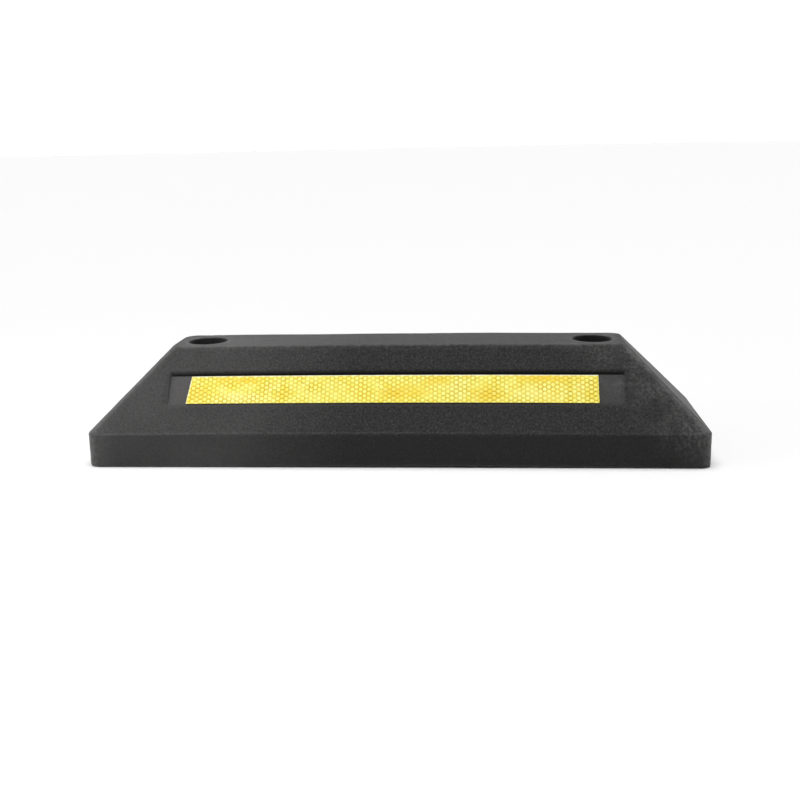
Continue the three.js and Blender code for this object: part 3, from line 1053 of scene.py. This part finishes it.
def rubber_material():
    material, tree, shader = new_material("black_rubber")
    dust_and_painted_light = dust_wear_and_painted_light(tree)
    z = axis(tree, "Z")
    mottle = stretch(tree, add_noise(tree, 1.7 * MM, 2, 0.55, 1), 0.34, 0.66)
    grain = add_noise(tree, 0.9 * MM, 3, 0.7, 2)
    speck = stretch(tree, add_noise(tree, 1.6 * MM, 1, 0.5, 3), 0.64, 0.76)
    # Below the top of the band the rubber is less mottled and painted darker: a smoother moulded
    # face, with painted shade on the upright band
    skin = stretch(tree, z, 28 * MM, 31 * MM, 0.35, 1)
    smooth = stretch(tree, attribute(tree, "recess"), 0, 1, 1, 0.35)
    share = multiply(tree, skin, smooth)
    even = multiply(tree, calculate(tree, "SUBTRACT", 1, share), 0.1)
    mottled = calculate(tree, "ADD", multiply(tree, mottle, share), even)
    colour = mix(tree, mottled, RUBBER_BLACK, RUBBER_GREY)
    colour = mix(tree, multiply(tree, speck, share, 0.4), colour, RUBBER_PALE)
    uneven = multiply(tree, dust_and_painted_light, stretch(tree, mottle, 0, 1, 0.85, 1.15))
    colour = mix(tree, uneven, colour, RUBBER_PALE)
    # Painted shade darkens the rubber towards black under each recess step, at the recess ends, in
    # the fixing holes and on the end slopes.
    shaded = multiply(tree, attribute(tree, "painted_shade"), 0.85)
    colour = mix(tree, shaded, colour, SHADE_BLACK)
    top = stretch(tree, z, 97 * MM, 99 * MM)
    pebble = bump(tree, add_noise(tree, 2.4 * MM, 2, 0.5, 1), 0.5 * MM, 0.5)
    fine = bump(tree, grain, 0.25 * MM, stretch(tree, top, 0, 1, 0.6, 1), pebble)
    rough = stretch(tree, mottle, 0, 1, 0.6, 0.75)
    fill(tree, shader, {"Base Color": colour, "Roughness": rough, "Normal": fine})
    fill(tree, shader, {"Specular IOR Level": 0.1, "Sheen Weight": 0.3, "Sheen Roughness": 0.4})
    return material


def sheeting_material():
    material, tree, shader = new_material("yellow_honeycomb_sheeting")
    seam, seam_shade = attribute(tree, "seam"), attribute(tree, "seam_shade")
    border, amber = attribute(tree, "border"), attribute(tree, "amber")
    cell = mix(tree, attribute(tree, "tone"), CELL_YELLOW, CELL_LIGHT)
    bleached = stretch(tree, amber, 0, -1)
    cell = mix(tree, bleached, cell, CELL_BLEACHED)
    clear = stretch(tree, add_noise(tree, 12 * MM, 2, 0.5, 6), 0.35, 0.65, 0.45, 1)
    colour = mix(tree, multiply(tree, seam, clear), cell, SEAM_OCHRE)
    fleck = stretch(tree, add_noise(tree, 2 * MM, 2, 0.6, 13), 0.56, 0.7, 0, 0.8)
    colour = mix(tree, multiply(tree, fleck, seam), colour, FLECK_BROWN)
    ragged = stretch(tree, add_noise(tree, 5 * MM, 3, 0.6, 7), 0.3, 0.6, 0.5, 1)
    stained = multiply(tree, stretch(tree, amber, 0, 1), ragged)
    colour = mix(tree, multiply(tree, stained, 0.9), colour, STAIN_AMBER)
    faint = stretch(tree, add_noise(tree, 30 * MM, 3, 0.6, 8), 0.52, 0.7, 0, 0.35)
    colour = mix(tree, faint, colour, STAIN_FAINT)
    # Painted shade along the seams
    colour = mix(tree, stretch(tree, seam_shade, 0, 1), colour, SEAM_SHADE_BROWN)
    # The bare film along the cut edges: its pale colour with a painted highlight
    scallop = stretch(tree, add_noise(tree, 4 * MM, 1, 0.5, 9), 0.35, 0.6, 0.3, 0.9)
    film = multiply(tree, stretch(tree, border, 0, 1), scallop)
    colour = mix(tree, film, colour, FILM_CREAM_AND_HIGHLIGHT)
    colour = mix(tree, stretch(tree, border, 0, -1), colour, BACKING_BROWN)
    fill(tree, shader, {"Base Color": colour, "Roughness": 0.45})
    fill(tree, shader, {"Specular IOR Level": 0.25, "Coat Weight": 0.1, "Coat Roughness": 0.2})
    return material


def zinc_material():
    material, tree, shader = new_material("zinc_plate")
    blotch = stretch(tree, add_noise(tree, 5 * MM, 3, 0.6, 10), 0.35, 0.65)
    colour = mix(tree, blotch, ZINC_DULL, ZINC_BRIGHT)
    rough = stretch(tree, add_noise(tree, 1.5 * MM, 3, 0.6, 11), 0.3, 0.7, 0.38, 0.54)
    drawn = add_noise(tree, 0.5 * MM, 2, 0.5, 12, (1, 1, 0.2))
    fill(tree, shader, {"Base Color": colour, "Metallic": 1.0, "Roughness": rough})
    fill(tree, shader, {"Normal": bump(tree, drawn, 0.05 * MM, 0.4)})
    return material


make_block(rubber_material())
sheeting = sheeting_material()
make_strip("front_strip", "front_reflective_strip", False, sheeting)
make_strip("rear_strip", "rear_reflective_strip", True, sheeting)
zinc = zinc_material()
make_anchor("left", zinc)
make_anchor("right", zinc)


# Stage and light

FLOOR_RADIUS = 30.0
FLOOR_SHARES = (0.1, 0.25, 0.5, 0.75, 1)
FLOOR_WHITE = (0.82, 0.82, 0.82, 1)
SKY_WHITE = (1, 1, 1, 1)
HORIZON_TOP = 0.125  # the sine of the height at which the bright band starts to fade
SKY_FOOT = 0.25  # and at which it has faded
HORIZON_POWER = 1.1
SKY_POWER = 0.13
SUN_POWER = 3.3
SUN_WIDTH = math.radians(50)
SIDE_LIGHT_POWER = 0.9
SIDE_LIGHT_SIZE = 0.25


def make_stage():
    """A wide pale floor, which runs out of sight."""
    bm = bmesh.new()
    rings = [circle(FLOOR_RADIUS * share**3, 0, 96) for share in FLOOR_SHARES]
    rows = add_rings(bm, rings)
    bm.faces.new(rows[0])
    floor = new_object("floor", bm)
    material, tree, shader = new_material("pale_floor")
    fill(tree, shader, {"Base Color": FLOOR_WHITE, "Roughness": 0.9})
    floor.data.materials.append(material)


def make_world():
    """A soft grey sky over a white band along the horizon."""
    world = bpy.data.worlds.new("studio")
    world.use_nodes = True
    tree = world.node_tree
    way = tree.nodes.new("ShaderNodeTexCoord").outputs["Generated"]
    split = tree.nodes.new("ShaderNodeSeparateXYZ")
    fill(tree, split, {0: way})
    height = split.outputs["Z"]
    strength = stretch(tree, height, HORIZON_TOP, SKY_FOOT, HORIZON_POWER, SKY_POWER)
    fill(tree, tree.nodes["Background"], {"Color": SKY_WHITE, "Strength": strength})
    bpy.context.scene.world = world


def add_light(name, kind, place, target, power):
    data = bpy.data.lights.new(name, kind)
    data.energy = power
    light = bpy.data.objects.new(name, data)
    aim = (Vector(target) - Vector(place)).to_track_quat("-Z", "Y")
    light.location = place
    light.rotation_euler = aim.to_euler()
    light.visible_camera = False
    bpy.context.collection.objects.link(light)
    return data


def make_light():
    make_world()
    overhead = add_light("overhead", "SUN", (0, 0, 2), (0, 0.1, 0), SUN_POWER)
    overhead.angle = SUN_WIDTH
    place, target = (-0.55, -0.4, 0.4), (-0.2, 0, 0.05)
    left = add_light("left", "AREA", place, target, SIDE_LIGHT_POWER)
    left.size = SIDE_LIGHT_SIZE
    bpy.context.scene.view_settings.view_transform = "Standard"


make_stage()
make_light()
